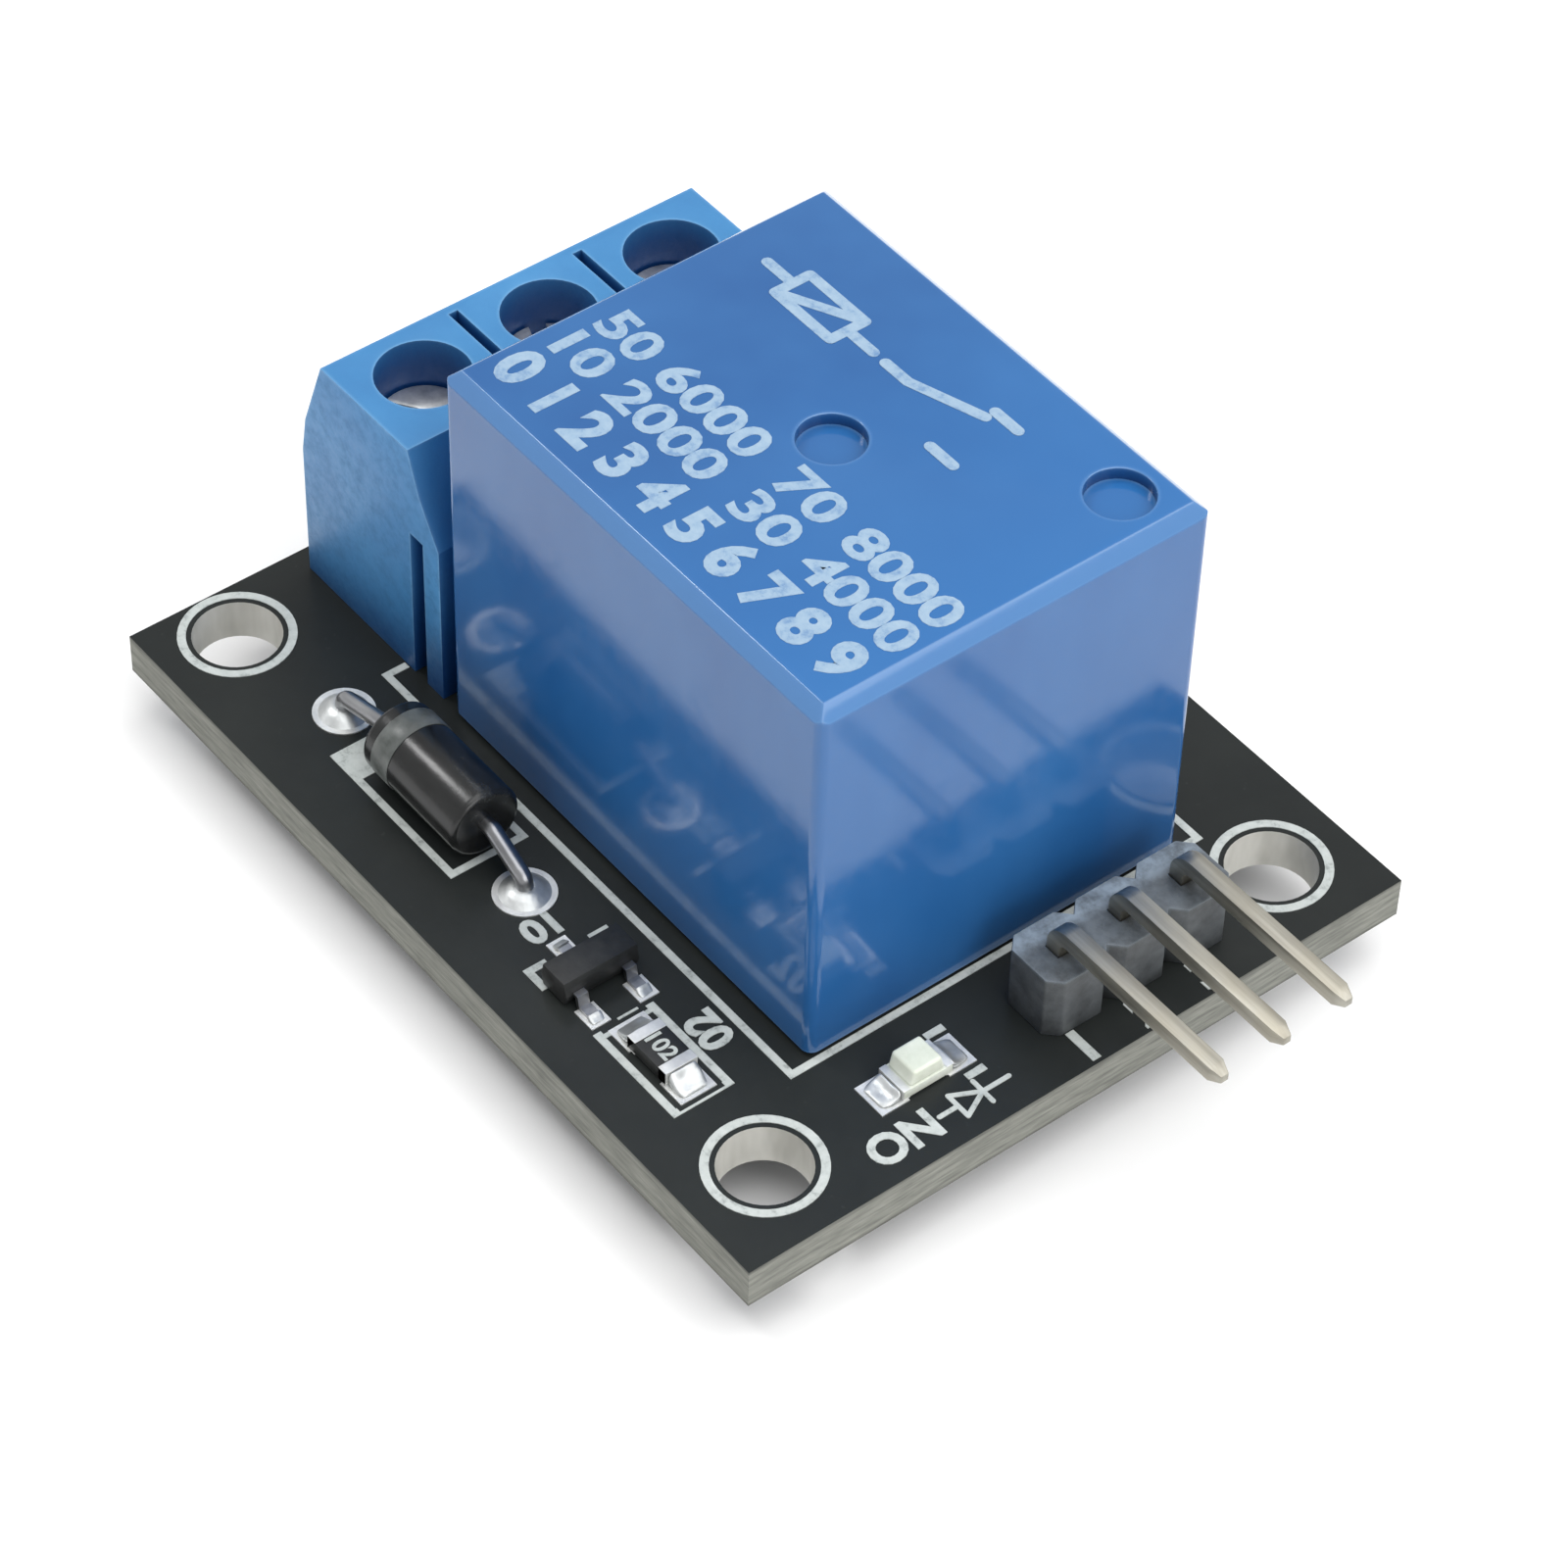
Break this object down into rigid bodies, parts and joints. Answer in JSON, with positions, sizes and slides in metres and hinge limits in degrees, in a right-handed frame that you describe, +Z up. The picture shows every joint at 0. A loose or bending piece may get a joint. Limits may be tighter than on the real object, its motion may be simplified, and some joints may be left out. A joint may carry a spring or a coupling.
{
  "type": "relay module board",
  "caption": "Small circuit board with a sealed cube relay, a screw terminal for the switched wires, a right-angle pin header and its driver parts.",
  "frame": {"origin": "centre of the four mounting holes, on the board's underside", "axes": "+X from the screw terminal to the pin header, +Z up out of the component side"},
  "size_m": [0.039, 0.0266, 0.0189],
  "materials": {
    "board_mask": "black solder mask, satin gloss, pale laminate at the edges",
    "track_mask": "copper under black solder mask",
    "print": "white print",
    "tin": "tinned metal",
    "solder": "bright solder",
    "cover_blue": "glossy blue moulding",
    "terminal_blue": "satin blue moulding",
    "black_plastic": "black moulding compound",
    "bobbin_plastic": "natural nylon",
    "copper_wire": "enamelled copper winding",
    "iron": "plated soft iron",
    "brass": "brass",
    "spring_bronze": "phosphor bronze",
    "contact_silver": "silver alloy",
    "plated_steel": "tin-plated strip",
    "screw_steel": "zinc-plated steel",
    "header_plastic": "dark moulding",
    "pin_metal": "tin-plated brass, warm grey",
    "band_grey": "grey print band",
    "lamp_base": "white lamp base",
    "lamp_lens": "milky clear lens"
  },
  "bodies": {
    "module": {"board": "board_mask", "silkscreen": "print", "pads_top": "tin", "pads_bottom": "tin", "tracks_bottom": "track_mask", "solder_top": "solder", "solder_bottom": "solder", "relay_cover": "cover_blue", "relay_print": "print", "relay_base": "black_plastic", "relay_bobbin": "bobbin_plastic", "relay_coil": "copper_wire", "relay_core": "iron", "relay_yoke": "iron", "fixed_contacts": "contact_silver", "common_terminal": "brass", "open_terminal": "brass", "closed_terminal": "brass", "coil_pins": "tin", "terminal_housing": "terminal_blue", "terminal_clamp_1": "plated_steel", "terminal_clamp_2": "plated_steel", "terminal_clamp_3": "plated_steel", "header_body": "header_plastic", "header_pin_1": "pin_metal", "header_pin_2": "pin_metal", "header_pin_3": "pin_metal", "diode_body": "black_plastic", "diode_band": "band_grey", "diode_leads": "tin", "transistor_body": "black_plastic", "transistor_leads": "tin", "resistor_body": "black_plastic", "resistor_terminals": "tin", "led_base": "lamp_base", "led_lens": "lamp_lens", "led_terminals": "tin"},
    "armature": {"relay_armature": "iron", "armature_rivets": "brass", "leaf_spring": "spring_bronze", "moving_contact": "contact_silver"},
    "guard_1": {"wire_guard_1": "plated_steel"},
    "screw_1": {"terminal_screw_1": "screw_steel"},
    "guard_2": {"wire_guard_2": "plated_steel"},
    "screw_2": {"terminal_screw_2": "screw_steel"},
    "guard_3": {"wire_guard_3": "plated_steel"},
    "screw_3": {"terminal_screw_3": "screw_steel"}
  },
  "joints": [
    {"name": "armature_hinge", "type": "hinge", "parent": "module", "child": "armature", "pos_m": [-0.0054, 0.0009, 0.01203], "axis": [0, 1, 0], "range_deg": [0, 3], "stiffness_Nm_per_rad": 0.002, "springref_deg": -4.58},
    {"name": "guard_1_slide", "type": "slide", "parent": "module", "child": "guard_1", "axis": [0, 0, -1], "range_m": [0, 0.00202]},
    {"name": "screw_1_turn", "type": "hinge", "parent": "guard_1", "child": "screw_1", "pos_m": [-0.01205, -0.00408, 0.00682], "axis": [0, 0, -1], "range_deg": [0, 1620]},
    {"name": "guard_2_slide", "type": "slide", "parent": "module", "child": "guard_2", "axis": [0, 0, -1], "range_m": [0, 0.00202]},
    {"name": "screw_2_turn", "type": "hinge", "parent": "guard_2", "child": "screw_2", "pos_m": [-0.01205, 0.001, 0.00682], "axis": [0, 0, -1], "range_deg": [0, 1620]},
    {"name": "guard_3_slide", "type": "slide", "parent": "module", "child": "guard_3", "axis": [0, 0, -1], "range_m": [0, 0.00202]},
    {"name": "screw_3_turn", "type": "hinge", "parent": "guard_3", "child": "screw_3", "pos_m": [-0.01205, 0.00608, 0.00682], "axis": [0, 0, -1], "range_deg": [0, 1620]}
  ],
  "couplings": [
    {"joint": "screw_1_turn", "follows": "guard_1_slide", "rad_per_m": 13963},
    {"joint": "screw_2_turn", "follows": "guard_2_slide", "rad_per_m": 13963},
    {"joint": "screw_3_turn", "follows": "guard_3_slide", "rad_per_m": 13963}
  ]
}
